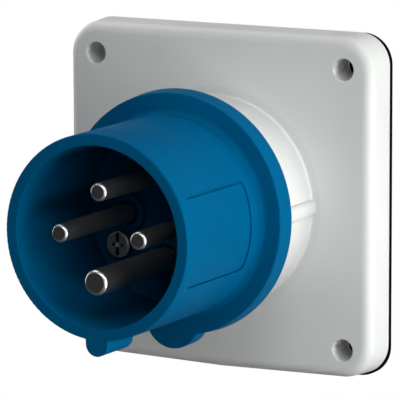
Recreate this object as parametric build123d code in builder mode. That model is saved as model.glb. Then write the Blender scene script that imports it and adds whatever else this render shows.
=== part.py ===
from build123d import *
import os

os.makedirs("parts", exist_ok=True)

# Panel-mounted industrial appliance inlet, three contacts and earth.
# Frame: +Z up, the front of the inlet faces -Y, X to the right seen from the front.
# Origin: centre of the mounting plane, where the gasket meets the panel.
# Depths d_... are distances in front of the panel plane, so y = -d.

# ---- flange plate and gasket -------------------------------------------------
gasket_t = 2.1            # gasket thickness
gasket_half = 47.8        # half width of the gasket
gasket_corner_r = 8.5
gasket_hole_r = 33.0      # round opening in the gasket and in the back of the flange
plate_half = 48.0         # half width of the plate at its back edge
plate_top = 48.12         # top edge
plate_bottom_mid = 47.91  # bottom edge, middle (very shallow V)
plate_bottom_end = 46.96  # bottom edge, at the corners
plate_corner_r = 8.9      # upper corners at the back edge
plate_corner_r_low = 7.6  # lower corners at the back edge
plate_inset = 0.42        # the front outline is this much smaller all round
front_corner_r = 9.7
front_corner_r_low = 8.4
d_plate = 12.5            # front face of the plate
d_skin = 9.5              # back face of the plate's front skin
plate_front_round = 3.0
wall_t = 3.0
ring_wall_r = 36.0
hole_pitch_half = 38.95   # half of the 77.9 mm square hole pattern
hole_r = 3.1
hole_rim_r = 0.2
post_r = 6.2
post_relief = 0.4         # relief at the back end of each screw post
post_relief_r = 4.6
rib_t = 1.8
hub_r = 32.0              # the boss and its foot are one piece out to here

# ---- round boss that carries the sleeve ---------------------------------------
boss_r = 29.3
boss_foot_r = 0.5
boss_bore_r = 26.8
ledge_r = 25.8
d_ledge = 16.0
d_boss = 32.8             # front of the boss, back of the coloured collar
boss_rib_w = 4.9
boss_rib_r = 30.7

# ---- sleeve (shroud) -----------------------------------------------------------
sleeve_r = 27.7
sleeve_bore_r = 24.5
d_rim = 79.5
d_floor = 40.0
floor_bore_r = 24.3       # bore at the floor, slight draft
root_fillet = 1.6
collar_front_r = 33.45
collar_back_r = 33.95
d_collar = 38.7
spigot_r = 26.7
thread_r = 25.6
d_spigot_step = 16.1
d_spigot_end = 4.0
carrier_bore_r = 23.0
rim_round_out = 0.4
rim_round_in = 0.25
key_w = 6.6               # key nub under the rim
key_bottom = 31.95
d_key_back = 65.9
lobe_r = 8.2              # lobe under the collar
lobe_cz = -29.1
seal_r = 24.9
d_seal_a = 24.0
d_seal_b = 26.0
panel_half_z = 11.9       # engraved U outline on the side of the sleeve
panel_d_back = 44.5
panel_d_front = 75.4
groove_w = 0.65
groove_depth = 0.5
inner_key_w = 4.0
inner_key_r = 21.6

# ---- contacts --------------------------------------------------------------------
pin_circle_r = 12.0
pin_r = 2.5
earth_r = 3.5
d_pin_tip = 78.35
d_earth_tip = 80.1
pin_tip_r = 0.85
earth_tip_r = 1.0
pin_shoulder_step = 0.6   # the shank is this much thicker inside the plastic
d_shoulder = 41.6         # front end of the thicker shank
barrel_r = 4.5
earth_barrel_r = 5.25
d_barrel_front = 32.0
d_barrel_back = 10.5
wire_bore_r = 2.25
earth_wire_bore_r = 2.6
d_wire_bore_end = 24.0
pin_collar_r = 5.0        # raised ring on the floor round each contact
earth_collar_r = 6.2
pin_collar_h = 2.0
fit_gap = 0.1             # radial clearance where a contact passes through plastic

# ---- terminal screws ----------------------------------------------------------------
tscrew_r = 1.45
tscrew_hole_r = 1.5
tscrew_head_r = 2.9
tscrew_head_h = 2.4
d_tscrew = 16.0
taccess_r = 3.5

# ---- contact carrier -----------------------------------------------------------------
carrier_r = 22.8
d_carrier_front = 36.0
d_carrier_split = 20.0
d_carrier_back = 8.0
lip_r = 3.6
earth_lip_r = 4.3

# ---- carrier screws (from the front), their nuts, and the joint screws --------------
cscrew_x = -15.0
cscrew_z = -9.1
cscrew_r = 1.75
cscrew_head_r = 3.68
cscrew_head_h = 2.5
cscrew_pip_r = 0.7        # round post left standing in the middle of the drive
d_cscrew_end = 19.0
nut_w = 5.5
nut_t = 2.2
jscrew_pos = 11.9
jscrew_r = 1.45
jscrew_head_r = 2.75
jscrew_head_h = 1.9
d_jscrew_tip = 29.0

# ---- ring nut -----------------------------------------------------------------------
rnut_r = 30.6
rnut_t = 5.0
rnut_notch_w = 4.0
rnut_notch_d = 1.8


def front(d):
    """Plane parallel to the panel, d in front of it; sketches read x right, z up."""
    return Plane.XZ.offset(d)


# the four contacts: name, x, z, radius, tip, tip rounding, barrel radius, wire bore
contacts = [
    ("contact_pin_top", 0.0, pin_circle_r, pin_r, d_pin_tip, pin_tip_r, barrel_r, wire_bore_r),
    ("contact_pin_left", -pin_circle_r, 0.0, pin_r, d_pin_tip, pin_tip_r, barrel_r, wire_bore_r),
    ("contact_pin_right", pin_circle_r, 0.0, pin_r, d_pin_tip, pin_tip_r, barrel_r, wire_bore_r),
    ("earth_pin", 0.0, -pin_circle_r, earth_r, d_earth_tip, earth_tip_r, earth_barrel_r, earth_wire_bore_r),
]
small_pin_xz = [(0, pin_circle_r), (-pin_circle_r, 0), (pin_circle_r, 0)]
earth_xz = [(0, -pin_circle_r)]
hole_xz = [(sx * hole_pitch_half, sz * hole_pitch_half) for sx in (-1, 1) for sz in (-1, 1)]
cscrew_xz = [(cscrew_x, cscrew_z), (-cscrew_x, -cscrew_z)]
jscrew_xz = [(-jscrew_pos, jscrew_pos), (jscrew_pos, -jscrew_pos)]

# ============================ flange plate ============================
with BuildPart() as flange_plate:
    # plate outlines at the back edge and at the front, bottom edge a very shallow V
    for d, inset, r_top, r_low in (
        (gasket_t, 0.0, plate_corner_r, plate_corner_r_low),
        (d_plate, plate_inset, front_corner_r, front_corner_r_low),
    ):
        with BuildSketch(front(d)) as plate_outline:
            with BuildLine():
                Polyline(
                    (-plate_half + inset, plate_top - inset),
                    (plate_half - inset, plate_top - inset),
                    (plate_half - inset, -plate_bottom_end + inset),
                    (0, -plate_bottom_mid + inset),
                    (-plate_half + inset, -plate_bottom_end + inset),
                    close=True,
                )
            make_face()
            top_corners = plate_outline.vertices().group_by(Axis.Z)[-1]
            fillet(top_corners, r_top)
            low = [v for v in plate_outline.vertices() if v.Z < -40 and abs(v.X) > 45]
            fillet(low, r_low)
    loft(ruled=True)
    # soft rounded front edge
    front_face = flange_plate.faces().sort_by(Axis.Y)[0]
    fillet(front_face.outer_wire().edges(), plate_front_round)
    # hollow back: pockets between the outer wall, the ring wall, the posts and ribs
    with BuildSketch(front(gasket_t)):
        with Locations((0, 0.3)):
            RectangleRounded(2 * (plate_half - wall_t - 0.5), 2 * (plate_half - wall_t - 0.8), 7.0)
        Circle(ring_wall_r, mode=Mode.SUBTRACT)
        with Locations(*hole_xz):
            Circle(post_r, mode=Mode.SUBTRACT)
        Rectangle(2 * plate_half, rib_t, mode=Mode.SUBTRACT)
        Rectangle(rib_t, 2 * plate_half, mode=Mode.SUBTRACT)
    extrude(amount=d_skin - gasket_t, mode=Mode.SUBTRACT)
    # round recess at the back, and the opening that the boss grows out of
    with BuildSketch(front(gasket_t)):
        Circle(gasket_hole_r)
    extrude(amount=d_skin - gasket_t, mode=Mode.SUBTRACT)
    with BuildSketch(front(d_skin - 1)):
        Circle(hub_r)
    extrude(amount=d_plate, mode=Mode.SUBTRACT)
    # relief at the back end of the posts
    with BuildSketch(front(gasket_t)):
        with Locations(*hole_xz):
            Circle(post_relief_r)
    extrude(amount=post_relief, mode=Mode.SUBTRACT)
    # fixing holes with a small rounded rim
    with BuildSketch(front(0)):
        with Locations(*hole_xz):
            Circle(hole_r)
    extrude(amount=d_plate + 1, mode=Mode.SUBTRACT)
    rims = [
        e
        for e in flange_plate.edges().filter_by(GeomType.CIRCLE)
        if abs(e.radius - hole_r) < 1e-3 and abs(e.center().Y + d_plate) < 1e-3
    ]
    fillet(rims, hole_rim_r)
flange_plate.part.label = "flange_plate"
export_step(flange_plate.part, "parts/flange_plate.step")

# ============================ flange boss ============================
# same moulding as the plate, and flush with it
with BuildPart() as flange_boss:
    with BuildSketch(front(d_skin)):
        Circle(hub_r)
    extrude(amount=d_plate - d_skin)
    with BuildSketch(front(d_skin)):
        Circle(boss_r)
    extrude(amount=d_boss - d_skin)
    foot = [
        e
        for e in flange_boss.edges().filter_by(GeomType.CIRCLE)
        if abs(e.radius - boss_r) < 1e-3 and abs(e.center().Y + d_plate) < 1e-3
    ]
    fillet(foot, boss_foot_r)
    # axial ribs on the boss at three and nine o'clock
    with BuildSketch(front(d_skin)):
        for sx in (-1, 1):
            with Locations((sx * (boss_rib_r - 2.2), 0)):
                RectangleRounded(4.4, boss_rib_w, 1.9)
    extrude(amount=d_boss - d_skin - 0.4)
    # ledge and bore for the sleeve
    with BuildSketch(front(d_skin - 1)):
        Circle(ledge_r)
    extrude(amount=d_boss, mode=Mode.SUBTRACT)
    with BuildSketch(front(d_ledge)):
        Circle(boss_bore_r)
    extrude(amount=d_boss, mode=Mode.SUBTRACT)
flange_boss.part.label = "flange_boss"
export_step(flange_boss.part, "parts/flange_boss.step")

# ============================ flange gasket ============================
with BuildPart() as flange_gasket:
    with BuildSketch(front(0)):
        RectangleRounded(2 * gasket_half, 2 * gasket_half, gasket_corner_r)
        Circle(gasket_hole_r, mode=Mode.SUBTRACT)
        with Locations(*hole_xz):
            Circle(hole_r, mode=Mode.SUBTRACT)
    extrude(amount=gasket_t)
flange_gasket.part.label = "flange_gasket"
export_step(flange_gasket.part, "parts/flange_gasket.step")

# ============================ sleeve ============================
# cutter for the engraved U outline on the right side of the sleeve
with BuildPart() as panel_groove:
    with BuildSketch(Plane.YZ.offset(18)) as u_line:
        mid_y = -(panel_d_back + panel_d_front) / 2
        with Locations((mid_y, 0)):
            Rectangle(panel_d_front - panel_d_back + groove_w, 2 * panel_half_z + groove_w)
        fillet([v for v in u_line.vertices() if v.Y > mid_y], 2.0)
        with Locations((mid_y - 2 * groove_w, 0)):
            RectangleRounded(
                panel_d_front - panel_d_back + groove_w, 2 * panel_half_z - groove_w, 1.6, mode=Mode.SUBTRACT
            )
        with Locations((-panel_d_front - 1.0, 0)):
            Rectangle(3.0, 2 * panel_half_z - groove_w, mode=Mode.SUBTRACT)
    extrude(amount=12)
    with BuildSketch(front(d_floor)):
        Circle(sleeve_r + 1)
        Circle(sleeve_r - groove_depth, mode=Mode.SUBTRACT)
    extrude(amount=d_rim - d_floor, mode=Mode.INTERSECT)

with BuildPart() as shroud_sleeve:
    # turned section: tube, collar, spigot and screw end, with the floor inside
    with BuildSketch(Plane.XY) as section:
        with BuildLine():
            Polyline(
                (0, -d_floor),
                (floor_bore_r, -d_floor),
                (sleeve_bore_r, -d_rim),
                (sleeve_r, -d_rim),
                (sleeve_r, -d_collar),
                (collar_front_r, -d_collar),
                (collar_back_r, -d_boss),
                (spigot_r, -d_boss),
                (spigot_r, -d_seal_b),
                (seal_r, -d_seal_b),
                (seal_r, -d_seal_a),
                (spigot_r, -d_seal_a),
                (spigot_r, -d_spigot_step),
                (thread_r, -d_spigot_step),
                (thread_r, -d_spigot_end),
                (carrier_bore_r, -d_spigot_end),
                (carrier_bore_r, -d_carrier_front),
                (0, -d_carrier_front),
                close=True,
            )
        make_face()

        def corner(r, d):
            return [v for v in section.vertices() if abs(v.X - r) < 1e-4 and abs(v.Y + d) < 1e-4]

        fillet(corner(sleeve_r, d_collar), root_fillet)
        fillet(corner(sleeve_r, d_rim), rim_round_out)
        fillet(corner(sleeve_bore_r, d_rim), rim_round_in)
        fillet(corner(floor_bore_r, d_floor), 0.8)
        fillet(corner(collar_front_r, d_collar), 0.35)
        fillet(corner(collar_back_r, d_boss), 0.3)
    revolve(axis=Axis.Y)
    # lobe under the collar, flush with both collar faces
    with BuildSketch(front(d_boss)):
        with Locations((0, lobe_cz)):
            Circle(lobe_r)
        Circle(spigot_r + 1.5, mode=Mode.SUBTRACT)
    extrude(amount=d_collar - d_boss)
    # key nub under the rim: straight sides, full round bottom
    with BuildSketch(front(d_key_back)):
        with Locations((0, -key_bottom + key_w / 2)):
            Circle(key_w / 2)
        with Locations((0, -(26.2 + key_bottom - key_w / 2) / 2)):
            Rectangle(key_w, key_bottom - key_w / 2 - 26.2)
    extrude(amount=d_rim - d_key_back)
    # raised rings round the contacts on the floor
    with BuildSketch(front(d_floor)):
        with Locations(*small_pin_xz):
            Circle(pin_collar_r)
        with Locations(*earth_xz):
            Circle(earth_collar_r)
    extrude(amount=pin_collar_h)
    with BuildSketch(front(d_carrier_front - 1)):
        with Locations(*small_pin_xz):
            Circle(pin_r + pin_shoulder_step + fit_gap)
        with Locations(*earth_xz):
            Circle(earth_r + pin_shoulder_step + fit_gap)
        with Locations(*cscrew_xz):
            Circle(cscrew_r + 0.15)
    extrude(amount=12, mode=Mode.SUBTRACT)
    # countersunk mouth of each ring
    mouths = [
        e
        for e in shroud_sleeve.edges().filter_by(GeomType.CIRCLE)
        if abs(e.center().Y + d_floor + pin_collar_h) < 1e-3 and e.radius < 4.5
    ]
    chamfer(mouths, 0.3)
    # locating rib for the carrier, inside at twelve o'clock
    with BuildSketch(front(d_carrier_back)):
        with Locations((0, (inner_key_r + 23.6) / 2)):
            Rectangle(inner_key_w, 23.6 - inner_key_r)
    extrude(amount=d_carrier_front - d_carrier_back)
    add(panel_groove.part, mode=Mode.SUBTRACT)
shroud_sleeve.part.label = "shroud_sleeve"
export_step(shroud_sleeve.part, "parts/shroud_sleeve.step")

# ============================ sleeve seal and ring nut ============================
with BuildPart() as sleeve_seal:
    with BuildSketch(front(d_seal_a)):
        Circle(boss_bore_r)
        Circle(seal_r, mode=Mode.SUBTRACT)
    extrude(amount=d_seal_b - d_seal_a)
sleeve_seal.part.label = "sleeve_seal"
export_step(sleeve_seal.part, "parts/sleeve_seal.step")

with BuildPart() as sleeve_ring_nut:
    with BuildSketch(front(d_skin - rnut_t)):
        Circle(rnut_r)
        Circle(thread_r + 0.02, mode=Mode.SUBTRACT)
        with PolarLocations(rnut_r, 6, start_angle=30):
            Rectangle(2 * rnut_notch_d, rnut_notch_w, mode=Mode.SUBTRACT)
    extrude(amount=rnut_t)
    back_edges = sleeve_ring_nut.faces().sort_by(Axis.Y)[-1].outer_wire().edges()
    chamfer(back_edges, 0.4)
sleeve_ring_nut.part.label = "sleeve_ring_nut"
export_step(sleeve_ring_nut.part, "parts/sleeve_ring_nut.step")

# ============================ contact carrier, front half ============================
with BuildPart() as contact_carrier_front:
    with BuildSketch(front(d_carrier_split)):
        Circle(carrier_r)
        with Locations((0, 23.0)):
            Rectangle(inner_key_w + 0.2, 2 * (23.0 - inner_key_r + 0.1), mode=Mode.SUBTRACT)
    extrude(amount=d_carrier_front - d_carrier_split)
    # contact passages
    with BuildSketch(front(d_carrier_split - 1)):
        with Locations(*small_pin_xz):
            Circle(pin_r + pin_shoulder_step + fit_gap)
        with Locations(*earth_xz):
            Circle(earth_r + pin_shoulder_step + fit_gap)
    extrude(amount=d_carrier_front, mode=Mode.SUBTRACT)
    with BuildSketch(front(d_carrier_split - 1)):
        with Locations(*small_pin_xz):
            Circle(barrel_r + 0.05)
        with Locations(*earth_xz):
            Circle(earth_barrel_r + 0.05)
    extrude(amount=d_barrel_front - d_carrier_split + 1, mode=Mode.SUBTRACT)
    # passages for the front screws, pockets for their square nuts
    with BuildSketch(front(d_carrier_split - 1)):
        with Locations(*cscrew_xz):
            Circle(cscrew_r + 0.15)
    extrude(amount=d_carrier_front, mode=Mode.SUBTRACT)
    with BuildSketch(front(d_carrier_split)):
        with Locations(*cscrew_xz):
            Rectangle(nut_w + 0.1, nut_w + 0.1)
    extrude(amount=nut_t, mode=Mode.SUBTRACT)
    # pilot holes for the joint screws
    with BuildSketch(front(d_carrier_split - 1)):
        with Locations(*jscrew_xz):
            Circle(jscrew_r + 0.02)
    extrude(amount=d_jscrew_tip - d_carrier_split + 1.5, mode=Mode.SUBTRACT)
contact_carrier_front.part.label = "contact_carrier_front"
export_step(contact_carrier_front.part, "parts/contact_carrier_front.step")

# ============================ contact carrier, rear half ============================
with BuildPart() as contact_carrier_rear:
    with BuildSketch(front(d_carrier_back)):
        Circle(carrier_r)
        with Locations((0, 23.0)):
            Rectangle(inner_key_w + 0.2, 2 * (23.0 - inner_key_r + 0.1), mode=Mode.SUBTRACT)
    extrude(amount=d_carrier_split - d_carrier_back)
    back_rim = contact_carrier_rear.faces().sort_by(Axis.Y)[-1].outer_wire().edges()
    chamfer(back_rim, 0.5)
    # barrels, with a lip that keeps each contact in
    with BuildSketch(front(d_barrel_back)):
        with Locations(*small_pin_xz):
            Circle(barrel_r + 0.05)
        with Locations(*earth_xz):
            Circle(earth_barrel_r + 0.05)
    extrude(amount=d_carrier_split, mode=Mode.SUBTRACT)
    with BuildSketch(front(d_carrier_back - 1)):
        with Locations(*small_pin_xz):
            Circle(lip_r)
        with Locations(*earth_xz):
            Circle(earth_lip_r)
    extrude(amount=5, mode=Mode.SUBTRACT)
    mouths = [
        e
        for e in contact_carrier_rear.edges().filter_by(GeomType.CIRCLE)
        if abs(e.center().Y + d_carrier_back) < 1e-3 and e.radius < 4.6
    ]
    chamfer(mouths, 1.0)
    # blind ends of the front screws
    with BuildSketch(front(d_cscrew_end - 0.5)):
        with Locations(*cscrew_xz):
            Circle(cscrew_r + 0.15)
    extrude(amount=3, mode=Mode.SUBTRACT)
    # joint screws: clearance and head recess
    with BuildSketch(front(d_carrier_back)):
        with Locations(*jscrew_xz):
            Circle(jscrew_r + 0.1)
    extrude(amount=d_carrier_split, mode=Mode.SUBTRACT)
    with BuildSketch(front(d_carrier_back)):
        with Locations(*jscrew_xz):
            Circle(jscrew_head_r + 0.2)
    extrude(amount=jscrew_head_h + 0.3, mode=Mode.SUBTRACT)
    # radial access holes to the terminal screws
    for ax, az in ((0, 1), (-1, 0), (1, 0), (0, -1)):
        reach = Plane(origin=(ax * 14.0, -d_tscrew, az * 14.0), z_dir=(ax, 0, az))
        with BuildSketch(reach):
            Circle(taccess_r)
        extrude(amount=12, mode=Mode.SUBTRACT)
contact_carrier_rear.part.label = "contact_carrier_rear"
export_step(contact_carrier_rear.part, "parts/contact_carrier_rear.step")

# ============================ contacts ============================
for name, cx, cz, r, d_tip, tip_c, b_r, w_r in contacts:
    ux, uz = cx / pin_circle_r, cz / pin_circle_r
    with BuildPart() as contact:
        with BuildSketch(front(d_barrel_front)):
            with Locations((cx, cz)):
                Circle(r + pin_shoulder_step)
        extrude(amount=d_shoulder - d_barrel_front)
        with BuildSketch(front(d_shoulder)):
            with Locations((cx, cz)):
                Circle(r)
        extrude(amount=d_tip - d_shoulder)
        tip_edge = contact.faces().sort_by(Axis.Y)[0].outer_wire().edges()
        fillet(tip_edge, tip_c)
        with BuildSketch(front(d_barrel_back)):
            with Locations((cx, cz)):
                Circle(b_r)
        extrude(amount=d_barrel_front - d_barrel_back)
        shoulder = [
            e
            for e in contact.edges().filter_by(GeomType.CIRCLE)
            if abs(e.radius - b_r) < 1e-3
        ]
        chamfer(shoulder, 0.4)
        with BuildSketch(front(d_barrel_back)):
            with Locations((cx, cz)):
                Circle(w_r)
        extrude(amount=d_wire_bore_end - d_barrel_back, mode=Mode.SUBTRACT)
        # tapped hole for the clamp screw
        tap = Plane(origin=(cx, -d_tscrew, cz), z_dir=(ux, 0, uz))
        with BuildSketch(tap):
            Circle(tscrew_hole_r)
        extrude(amount=b_r + 2, mode=Mode.SUBTRACT)
    contact.part.label = name
    export_step(contact.part, "parts/" + name + ".step")

    # clamp screw of this contact: cheese head with a straight slot
    base = pin_circle_r + b_r
    with BuildPart() as tscrew:
        with BuildSketch(Plane(origin=(ux * (pin_circle_r + w_r + 0.05), -d_tscrew, uz * (pin_circle_r + w_r + 0.05)), z_dir=(ux, 0, uz))):
            Circle(tscrew_r)
        extrude(amount=base - pin_circle_r - w_r)
        head_plane = Plane(origin=(ux * base, -d_tscrew, uz * base), z_dir=(ux, 0, uz))
        with BuildSketch(head_plane):
            Circle(tscrew_head_r)
        extrude(amount=tscrew_head_h)
        with BuildSketch(head_plane.offset(tscrew_head_h - 1.1)):
            Rectangle(8.0, 0.8)
        extrude(amount=2, mode=Mode.SUBTRACT)
    sname = name.replace("contact_pin", "terminal_screw").replace("earth_pin", "terminal_screw_earth")
    tscrew.part.label = sname
    export_step(tscrew.part, "parts/" + sname + ".step")

# ============================ carrier screws and nuts ============================
for tag, (px, pz) in zip(("lower", "upper"), cscrew_xz):
    with BuildPart() as cscrew:
        with BuildSketch(front(d_cscrew_end)):
            with Locations((px, pz)):
                Circle(cscrew_r)
        extrude(amount=d_floor - d_cscrew_end)
        with BuildSketch(front(d_floor)):
            with Locations((px, pz)):
                Circle(cscrew_head_r)
        extrude(amount=cscrew_head_h)
        crown = cscrew.faces().sort_by(Axis.Y)[0].outer_wire().edges()
        fillet(crown, 0.9)
        # combined drive: one long slot and a short cross slot round a small centre pip
        with BuildSketch(front(d_floor + cscrew_head_h - 1.2)):
            with Locations((px, pz)):
                Rectangle(1.15, 8.0)
                Rectangle(3.8, 0.9)
                Circle(cscrew_pip_r, mode=Mode.SUBTRACT)
        extrude(amount=3, mode=Mode.SUBTRACT)
    cscrew.part.label = "carrier_screw_" + tag
    export_step(cscrew.part, "parts/carrier_screw_" + tag + ".step")

    with BuildPart() as cnut:
        with BuildSketch(front(d_carrier_split)):
            with Locations((px, pz)):
                Rectangle(nut_w, nut_w)
                Circle(cscrew_r + 0.02, mode=Mode.SUBTRACT)
        extrude(amount=nut_t)
    cnut.part.label = "carrier_nut_" + tag
    export_step(cnut.part, "parts/carrier_nut_" + tag + ".step")

for tag, (px, pz) in zip(("left", "right"), jscrew_xz):
    head_d = d_carrier_back + 0.3 + jscrew_head_h
    with BuildPart() as jscrew:
        with BuildSketch(front(head_d)):
            with Locations((px, pz)):
                Circle(jscrew_r)
        extrude(amount=d_jscrew_tip - head_d)
        tip = jscrew.faces().sort_by(Axis.Y)[0].outer_wire().edges()
        chamfer(tip, 0.7)
        with BuildSketch(front(head_d - jscrew_head_h)):
            with Locations((px, pz)):
                Circle(jscrew_head_r)
        extrude(amount=jscrew_head_h)
        with BuildSketch(front(head_d - jscrew_head_h)):
            with Locations((px, pz)):
                Rectangle(3.0, 0.7)
                Rectangle(0.7, 3.0)
        extrude(amount=1.0, mode=Mode.SUBTRACT)
    jscrew.part.label = "carrier_joint_screw_" + tag
    export_step(jscrew.part, "parts/carrier_joint_screw_" + tag + ".step")
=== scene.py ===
import math

import bmesh
import bpy
from mathutils import Matrix, Vector

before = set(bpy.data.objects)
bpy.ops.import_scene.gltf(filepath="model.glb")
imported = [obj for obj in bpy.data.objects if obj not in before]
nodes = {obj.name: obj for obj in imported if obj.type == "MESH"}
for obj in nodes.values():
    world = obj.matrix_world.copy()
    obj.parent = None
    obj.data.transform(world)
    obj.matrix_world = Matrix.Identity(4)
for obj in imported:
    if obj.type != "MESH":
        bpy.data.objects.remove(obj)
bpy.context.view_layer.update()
scene = bpy.context.scene


# ---------------------------------------------------------------- node helpers
class Tree:
    """A small builder for one material's nodes."""

    def __init__(self, name):
        self.mat = bpy.data.materials.new(name)
        self.mat.use_nodes = True
        self.t = self.mat.node_tree
        self.t.nodes.clear()
        self.out = self.t.nodes.new("ShaderNodeOutputMaterial")
        self.bsdf = self.t.nodes.new("ShaderNodeBsdfPrincipled")
        self.t.links.new(self.bsdf.outputs[0], self.out.inputs[0])
        self.coord = self.t.nodes.new("ShaderNodeTexCoord")

    def node(self, kind, **props):
        n = self.t.nodes.new(kind)
        for k, v in props.items():
            setattr(n, k, v)
        return n

    def link(self, a, b):
        self.t.links.new(a, b)

    def noise(self, scale, detail=3.0, rough=0.55, stretch=(1, 1, 1), shift=0.0):
        m = self.node("ShaderNodeMapping")
        m.inputs["Scale"].default_value = stretch
        m.inputs["Location"].default_value = (shift, shift * 0.7, shift * 1.3)
        self.link(self.coord.outputs["Object"], m.inputs["Vector"])
        n = self.node("ShaderNodeTexNoise")
        n.inputs["Scale"].default_value = scale
        n.inputs["Detail"].default_value = detail
        n.inputs["Roughness"].default_value = rough
        self.link(m.outputs[0], n.inputs["Vector"])
        return n.outputs["Fac"]

    def ramp(self, fac, stops, interp="LINEAR"):
        r = self.node("ShaderNodeValToRGB")
        r.color_ramp.interpolation = interp
        els = r.color_ramp.elements
        els[0].position, els[0].color = stops[0][0], (*stops[0][1], 1)
        els[1].position, els[1].color = stops[-1][0], (*stops[-1][1], 1)
        for p, c in stops[1:-1]:
            e = els.new(p)
            e.color = (*c, 1)
        self.link(fac, r.inputs[0])
        return r.outputs["Color"]

    def span(self, fac, lo, hi, a=0.3, b=0.7):
        m = self.node("ShaderNodeMapRange")
        m.inputs["From Min"].default_value = a
        m.inputs["From Max"].default_value = b
        m.inputs["To Min"].default_value = lo
        m.inputs["To Max"].default_value = hi
        self.link(fac, m.inputs["Value"])
        return m.outputs["Result"]

    def mix(self, fac, a, b, blend="MIX"):
        m = self.node("ShaderNodeMix", data_type="RGBA", blend_type=blend)
        if isinstance(fac, float):
            m.inputs[0].default_value = fac
        else:
            self.link(fac, m.inputs[0])
        for socket, v in ((m.inputs[6], a), (m.inputs[7], b)):
            if isinstance(v, tuple):
                socket.default_value = (*v, 1)
            else:
                self.link(v, socket)
        return m.outputs[2]

    def math(self, op, a, b=None):
        m = self.node("ShaderNodeMath", operation=op)
        for i, v in enumerate((a, b)):
            if v is None:
                continue
            if isinstance(v, (int, float)):
                m.inputs[i].default_value = v
            else:
                self.link(v, m.inputs[i])
        return m.outputs[0]

    def bump(self, height, distance, strength=1.0, normal=None):
        b = self.node("ShaderNodeBump")
        b.inputs["Strength"].default_value = strength
        b.inputs["Distance"].default_value = distance
        self.link(height, b.inputs["Height"])
        if normal is not None:
            self.link(normal, b.inputs["Normal"])
        return b.outputs[0]

    def xyz(self):
        n = self.node("ShaderNodeSeparateXYZ")
        self.link(self.coord.outputs["Object"], n.inputs[0])
        return n.outputs["X"], n.outputs["Y"], n.outputs["Z"]

    def away(self, a, b):
        """Length of the flat vector (a, b)."""
        return self.math("SQRT", self.math("ADD", self.math("MULTIPLY", a, a), self.math("MULTIPLY", b, b)))

    def band(self, value, middle, inner, outer):
        """1 within inner of middle, falling to 0 at outer."""
        return self.span(self.math("ABSOLUTE", self.math("SUBTRACT", value, middle)), 1.0, 0.0, inner, outer)

    def edge(self, radius, off=None):
        """Rounded normal along the edges, and a mask that is 1 on them; off takes the effect away."""
        bev = self.node("ShaderNodeBevel", samples=6)
        bev.inputs["Radius"].default_value = radius
        geo = self.node("ShaderNodeNewGeometry")
        normal = bev.outputs[0]
        if off is not None:
            m = self.node("ShaderNodeMix", data_type="VECTOR")
            self.link(off, m.inputs[0])
            self.link(normal, m.inputs[4])
            self.link(geo.outputs["Normal"], m.inputs[5])
            normal = m.outputs[1]
        dot = self.node("ShaderNodeVectorMath", operation="DOT_PRODUCT")
        self.link(normal, dot.inputs[0])
        self.link(geo.outputs["Normal"], dot.inputs[1])
        mask = self.span(dot.outputs["Value"], 1.0, 0.0, 0.82, 0.995)
        return normal, mask


# ---------------------------------------------------------------- materials
def moulded(name, base, light, dark, rough, specular, edge_r, edge_highlight_tint, edge_highlight_amount, grain=2600.0, grain_mm=0.012, sheen_tint=None, flange=False, bowl_painted_shade=None):
    """Injection-moulded thermoplastic: faint mottling, spark-eroded grain, slightly glossier edges with a painted
    highlight along them.
    """
    t = Tree(name)
    slow = t.noise(28.0, 2.0, 0.5)
    flow = t.noise(90.0, 3.0, 0.5, (1.0, 0.25, 1.0), 3.1)
    col = t.ramp(slow, [(0.3, dark), (0.5, base), (0.72, light)])
    col = t.mix(t.span(flow, 0.0, 0.22), col, light)
    x, y, z = t.xyz()
    radial = t.away(x, z)
    # the boss and the plate are one moulding: no edge where the two meet
    seam = t.band(radial, 0.032, 0.0005, 0.0009) if flange else None
    normal, mask = t.edge(edge_r, seam)
    # painted highlight: the colour along the edges is mixed towards a lighter tint
    col = t.mix(t.math("MULTIPLY", mask, edge_highlight_amount), col, edge_highlight_tint)
    if flange:
        # painted highlight: a light line round the base of the boss, along its fillet
        painted_foot_line = t.math("MULTIPLY", t.band(radial, 0.02965, 0.00022, 0.00045), t.band(y, -0.0126, 0.0005, 0.0008))
        col = t.mix(t.math("MULTIPLY", painted_foot_line, 0.3), col, (0.92, 0.93, 0.92))
    if bowl_painted_shade is not None:
        # painted shade: within the sleeve's bore the colour darkens towards the floor, to a near black blue
        inside = t.math("MULTIPLY", t.span(radial, 1.0, 0.0, 0.0250, 0.0262), t.span(y, 0.0, 1.0, -0.062, -0.042))
        col = t.mix(t.math("MULTIPLY", inside, bowl_painted_shade), col, (0.0, 0.012, 0.035))
    t.link(col, t.bsdf.inputs["Base Color"])
    fine = t.noise(grain, 2.0, 0.6)
    r = t.span(t.noise(160.0, 3.0, 0.6, (1, 1, 1), 5.0), rough - 0.05, rough + 0.06)
    r = t.math("SUBTRACT", r, t.math("MULTIPLY", mask, 0.08))
    t.link(r, t.bsdf.inputs["Roughness"])
    t.bsdf.inputs["Specular IOR Level"].default_value = specular
    if sheen_tint is not None:
        t.bsdf.inputs["Specular Tint"].default_value = (*sheen_tint, 1)
    t.link(t.bump(fine, grain_mm / 1000.0, 0.35, normal), t.bsdf.inputs["Normal"])
    return t.mat


def rubber(name):
    t = Tree(name)
    fac = t.noise(220.0, 4.0, 0.6)
    t.link(t.ramp(fac, [(0.3, (0.0005, 0.0005, 0.0005)), (0.7, (0.0014, 0.0014, 0.0015))]), t.bsdf.inputs["Base Color"])
    t.link(t.span(t.noise(500.0, 2.0), 0.55, 0.75), t.bsdf.inputs["Roughness"])
    t.bsdf.inputs["Specular IOR Level"].default_value = 0.01
    t.link(t.bump(t.noise(1800.0, 3.0), 0.00003, 0.5), t.bsdf.inputs["Normal"])
    return t.mat


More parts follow.
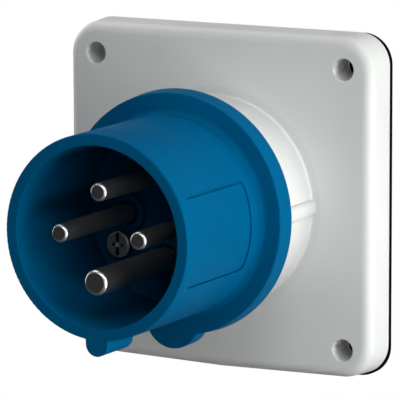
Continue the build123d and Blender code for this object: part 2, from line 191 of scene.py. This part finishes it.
def turned_metal(name, tint, dark, rough, metallic=1.0, line_mm=0.0015, soft_edge=0.00015, pin=False, drive_shade_and_highlights=False):
    """Turned and plated metal: faint tool lines round the axis, dulled a little in slow patches."""
    t = Tree(name)
    if not pin:
        t.bsdf.inputs["Metallic"].default_value = metallic
    patch = t.noise(60.0, 2.0, 0.5)
    col = t.ramp(patch, [(0.32, dark), (0.68, tint)])
    x, y, z = t.xyz()
    earth = t.span(z, 1.0, 0.0, -0.0075, -0.0074)
    r = t.span(t.noise(90.0, 2.0, 0.5, (1, 1, 1), 2.0), rough - 0.02, rough + 0.04)
    if pin:
        # painted shade: the thicker shank in the floor rings is made near black. The end face is polished and the sides
        # are matt; the sides also get painted shade, most near the tip, and the rounding between them a painted
        # highlight
        col = t.mix(t.span(y, 0.0, 1.0, -0.0420, -0.0418), col, (0.0, 0.010, 0.024))
        back = t.math("SUBTRACT", y, t.math("SUBTRACT", -0.07835, t.math("MULTIPLY", earth, 0.00175)))
        side = t.span(back, 0.0, 1.0, 0.00060, 0.00072)
        rounding_highlight_band = t.math("MULTIPLY", t.span(back, 0.0, 1.0, 0.000012, 0.00003), t.span(back, 1.0, 0.0, 0.00058, 0.00066))
        r = t.math("ADD", r, t.math("ADD", t.math("MULTIPLY", side, 0.3), t.math("MULTIPLY", rounding_highlight_band, 0.12)))
        # painted shade: the sides are mixed towards dark grey, more strongly near the tip
        col = t.mix(t.math("MULTIPLY", side, t.span(y, 0.75, 0.35, -0.078, -0.062)), col, (0.05, 0.055, 0.065))
        # painted highlight: the rounding is lightest on its upper right side and darker grey elsewhere
        wide = t.math("GREATER_THAN", t.math("ABSOLUTE", x), t.math("ABSOLUTE", z))
        lx = t.math("SUBTRACT", x, t.math("MULTIPLY", t.math("MULTIPLY", t.math("SIGN", x), wide), 0.012))
        lz = t.math("SUBTRACT", z, t.math("MULTIPLY", t.math("MULTIPLY", t.math("SIGN", z), t.math("SUBTRACT", 1.0, wide)), 0.012))
        lean = t.math("DIVIDE", t.math("ADD", t.math("MULTIPLY", lx, 0.75), t.math("MULTIPLY", lz, 0.66)), t.away(lx, lz))
        col = t.mix(rounding_highlight_band, col, t.mix(t.span(lean, 0.0, 1.0, -0.35, 0.35), (0.42, 0.42, 0.43), (0.97, 0.97, 0.96)))
        t.link(t.math("SUBTRACT", metallic, t.math("MULTIPLY", rounding_highlight_band, 0.06)), t.bsdf.inputs["Metallic"])
    if drive_shade_and_highlights:
        # painted shade in the drive, a painted highlight on the post in its middle
        col = t.mix(t.span(y, 0.0, 1.0, -0.0422, -0.0420), col, (0.012, 0.012, 0.013))
        spot = t.away(t.math("SUBTRACT", t.math("ABSOLUTE", x), 0.0150), t.math("SUBTRACT", t.math("ABSOLUTE", z), 0.0091))
        col = t.mix(t.span(spot, 1.0, 0.0, 0.0005, 0.0008), col, (0.95, 0.92, 0.88))
        # painted highlight: a lighter ring round the crown of the head
        col = t.mix(t.math("MULTIPLY", t.band(spot, 0.0034, 0.00015, 0.0003), 0.6), col, (0.9, 0.9, 0.9))
    t.link(col, t.bsdf.inputs["Base Color"])
    lines = t.noise(5200.0, 1.0, 0.5, (0.02, 1.0, 0.02))
    t.link(r, t.bsdf.inputs["Roughness"])
    normal = t.edge(soft_edge)[0] if soft_edge else None
    t.link(t.bump(lines, line_mm / 1000.0, 0.4, normal), t.bsdf.inputs["Normal"])
    return t.mat


grey = moulded("grey_moulding", (0.70, 0.713, 0.698), (0.725, 0.738, 0.723), (0.675, 0.688, 0.673), 0.46, 0.3, 0.00025, (0.79, 0.80, 0.785), 0.5, flange=True)
# painted shade: the boss, one moulding with the plate, gets a darker copy of the grey to tone down its brightly lit
# sides
boss_grey_painted_shade = moulded("grey_moulding_boss_painted_shade", (0.665, 0.677, 0.663), (0.69, 0.702, 0.688), (0.64, 0.652, 0.638), 0.46, 0.3, 0.00025, (0.76, 0.77, 0.755), 0.5, flange=True)
blue = moulded("blue_moulding", (0.0, 0.100, 0.236), (0.0, 0.106, 0.250), (0.0, 0.094, 0.222), 0.45, 0.02, 0.00022, (0.002, 0.14, 0.31), 0.4, sheen_tint=(0.1, 0.6, 1.0), bowl_painted_shade=0.5)
nut_grey = moulded("nut_moulding", (0.30, 0.31, 0.31), (0.34, 0.35, 0.35), (0.26, 0.27, 0.27), 0.5, 0.3, 0.0002, (0.4, 0.41, 0.41), 0.4)
carrier = moulded("carrier_moulding", (0.012, 0.015, 0.022), (0.018, 0.021, 0.03), (0.008, 0.011, 0.016), 0.5, 0.3, 0.0002, (0.04, 0.045, 0.055), 0.4)
black = rubber("black_rubber")
pin_metal = turned_metal("pin_plating", (0.66, 0.65, 0.64), (0.62, 0.61, 0.60), 0.16, metallic=0.94, line_mm=0.0008, soft_edge=0, pin=True)
screw_metal = turned_metal("screw_plating", (0.42, 0.43, 0.45), (0.36, 0.37, 0.39), 0.3)
dull_screw = turned_metal("dull_screw_plating", (0.33, 0.33, 0.33), (0.27, 0.27, 0.28), 0.4, metallic=0.4, soft_edge=0.0003, drive_shade_and_highlights=True)

looks = {
    "flange_plate": grey,
    "flange_boss": boss_grey_painted_shade,
    "flange_gasket": black,
    "sleeve_seal": black,
    "shroud_sleeve": blue,
    "sleeve_ring_nut": nut_grey,
    "contact_carrier_front": carrier,
    "contact_carrier_rear": carrier,
    "carrier_screw_lower": dull_screw,
    "carrier_screw_upper": dull_screw,
}
for name, obj in nodes.items():
    mat = looks.get(name)
    if mat is None:
        mat = pin_metal if "pin" in name else screw_metal
    obj.data.materials.clear()
    obj.data.materials.append(mat)

# ---------------------------------------------------------------- floor
FLOOR_Z = -0.5
bm = bmesh.new()
bmesh.ops.create_grid(bm, x_segments=1, y_segments=1, size=12.0)
me = bpy.data.meshes.new("floor")
bm.to_mesh(me)
bm.free()
floor = bpy.data.objects.new("floor", me)
floor.location = (0, 4.0, FLOOR_Z)
scene.collection.objects.link(floor)
ft = Tree("floor_white")
ft.bsdf.inputs["Base Color"].default_value = (0.12, 0.12, 0.12, 1)
ft.bsdf.inputs["Roughness"].default_value = 0.9
ft.bsdf.inputs["Specular IOR Level"].default_value = 0.0
glow = ft.node("ShaderNodeEmission")
glow.inputs["Color"].default_value = (1, 1, 1, 1)
glow.inputs["Strength"].default_value = 1.0
path = ft.node("ShaderNodeLightPath")
both = ft.node("ShaderNodeMixShader")
ft.link(path.outputs["Is Camera Ray"], both.inputs[0])
ft.link(ft.bsdf.outputs[0], both.inputs[1])
ft.link(glow.outputs[0], both.inputs[2])
ft.link(both.outputs[0], ft.out.inputs[0])
me.materials.append(ft.mat)

# ---------------------------------------------------------------- light
world = bpy.data.worlds.new("studio")
scene.world = world
world.use_nodes = True
wt = world.node_tree
wt.nodes.clear()
w_out = wt.nodes.new("ShaderNodeOutputWorld")
w_dim = wt.nodes.new("ShaderNodeBackground")
w_dim.inputs["Color"].default_value = (1.0, 1.0, 1.0, 1)
w_dim.inputs["Strength"].default_value = 0.0
w_white = wt.nodes.new("ShaderNodeBackground")
w_white.inputs["Color"].default_value = (1.0, 1.0, 1.0, 1)
w_white.inputs["Strength"].default_value = 1.0
w_path = wt.nodes.new("ShaderNodeLightPath")
w_mix = wt.nodes.new("ShaderNodeMixShader")
wt.links.new(w_path.outputs["Is Camera Ray"], w_mix.inputs[0])
wt.links.new(w_dim.outputs[0], w_mix.inputs[1])
wt.links.new(w_white.outputs[0], w_mix.inputs[2])
wt.links.new(w_mix.outputs[0], w_out.inputs[0])

CENTRE = Vector((0.0, -0.03, 0.0))


def softbox(name, azimuth, elevation, distance, size, energy, colour=(1, 1, 1)):
    """An area light on a sphere round the object; azimuth 0 is straight in front, 90 to the right."""
    a, e = math.radians(azimuth), math.radians(elevation)
    place = CENTRE + Vector((math.sin(a) * math.cos(e), -math.cos(a) * math.cos(e), math.sin(e))) * distance
    light = bpy.data.lights.new(name, "AREA")
    light.shape = "RECTANGLE"
    light.size, light.size_y = size
    light.energy = energy
    light.color = colour
    obj = bpy.data.objects.new(name, light)
    obj.location = place
    obj.rotation_mode = "QUATERNION"
    obj.rotation_quaternion = (CENTRE - place).to_track_quat("-Z", "Y")
    obj.visible_camera = False
    scene.collection.objects.link(obj)
    return obj


softbox("front_right", 30, 0, 1.3, (0.6, 0.42), 0.83)
softbox("right_back", 108, 0, 1.3, (0.6, 0.42), 4.28)
softbox("right_front_low", 56, -18, 1.3, (0.58, 0.36), 2.6)
softbox("right_back_low", 108, -18, 1.3, (0.58, 0.36), 3.13)
softbox("front_right_mid", 30, 19, 1.3, (0.58, 0.42), 0.35)
softbox("right_back_mid", 108, 19, 1.3, (0.58, 0.42), 2.15)
softbox("front_right_high", 30, 40, 1.3, (0.5, 0.5), 2.62)
softbox("right_front_high", 56, 40, 1.3, (0.5, 0.5), 0.81)
softbox("near_right", 78, 0, 0.45, (0.16, 0.16), 0.58)
softbox("near_right_low", 70, -25, 0.45, (0.16, 0.16), 0.33)
softbox("near_right_high", 70, 25, 0.45, (0.16, 0.16), 0.37)
softbox("top_back", 180, 60, 1.2, (0.8, 0.6), 1.98)
softbox("top_left", -90, 60, 1.2, (0.6, 0.6), 4.6)
softbox("front_top", 0, 35, 1.3, (0.6, 0.5), 1.58)
softbox("left", -80, 5, 1.3, (0.5, 0.7), 3.44)
softbox("left_back", -110, 20, 1.3, (0.6, 0.6), 4.84)
softbox("back", 180, 0, 1.3, (0.7, 0.7), 1.43)

# ---------------------------------------------------------------- camera
YAW, PITCH, ROLL = 0.504902482, 0.1705642509, -0.0035240525
FOCAL_PX = 3760.1261148
PLACE = Vector((0.4948145852, -0.917698343, 0.1775218945))
fwd = Vector((-math.sin(YAW) * math.cos(PITCH), math.cos(YAW) * math.cos(PITCH), -math.sin(PITCH)))
right = Vector((math.cos(YAW), math.sin(YAW), 0.0))
up = right.cross(fwd)
right, up = right * math.cos(ROLL) + up * math.sin(ROLL), up * math.cos(ROLL) - right * math.sin(ROLL)
fwd = (fwd - right * (0.5 / FOCAL_PX) + up * (0.5 / FOCAL_PX)).normalized()
right = fwd.cross(up).normalized()
up = right.cross(fwd)
cam_data = bpy.data.cameras.new("camera")
cam_data.sensor_width = 36.0
cam_data.lens = FOCAL_PX / 400.0 * 36.0
cam_data.clip_start, cam_data.clip_end = 0.02, 100.0
cam = bpy.data.objects.new("camera", cam_data)
scene.collection.objects.link(cam)
cam.matrix_world = Matrix(
    (
        (right.x, up.x, -fwd.x, PLACE.x),
        (right.y, up.y, -fwd.y, PLACE.y),
        (right.z, up.z, -fwd.z, PLACE.z),
        (0, 0, 0, 1),
    )
)
scene.camera = cam
scene.view_settings.view_transform = "Standard"
scene.view_settings.look = "None"
scene.view_settings.exposure = 0.0
scene.view_settings.gamma = 1.0
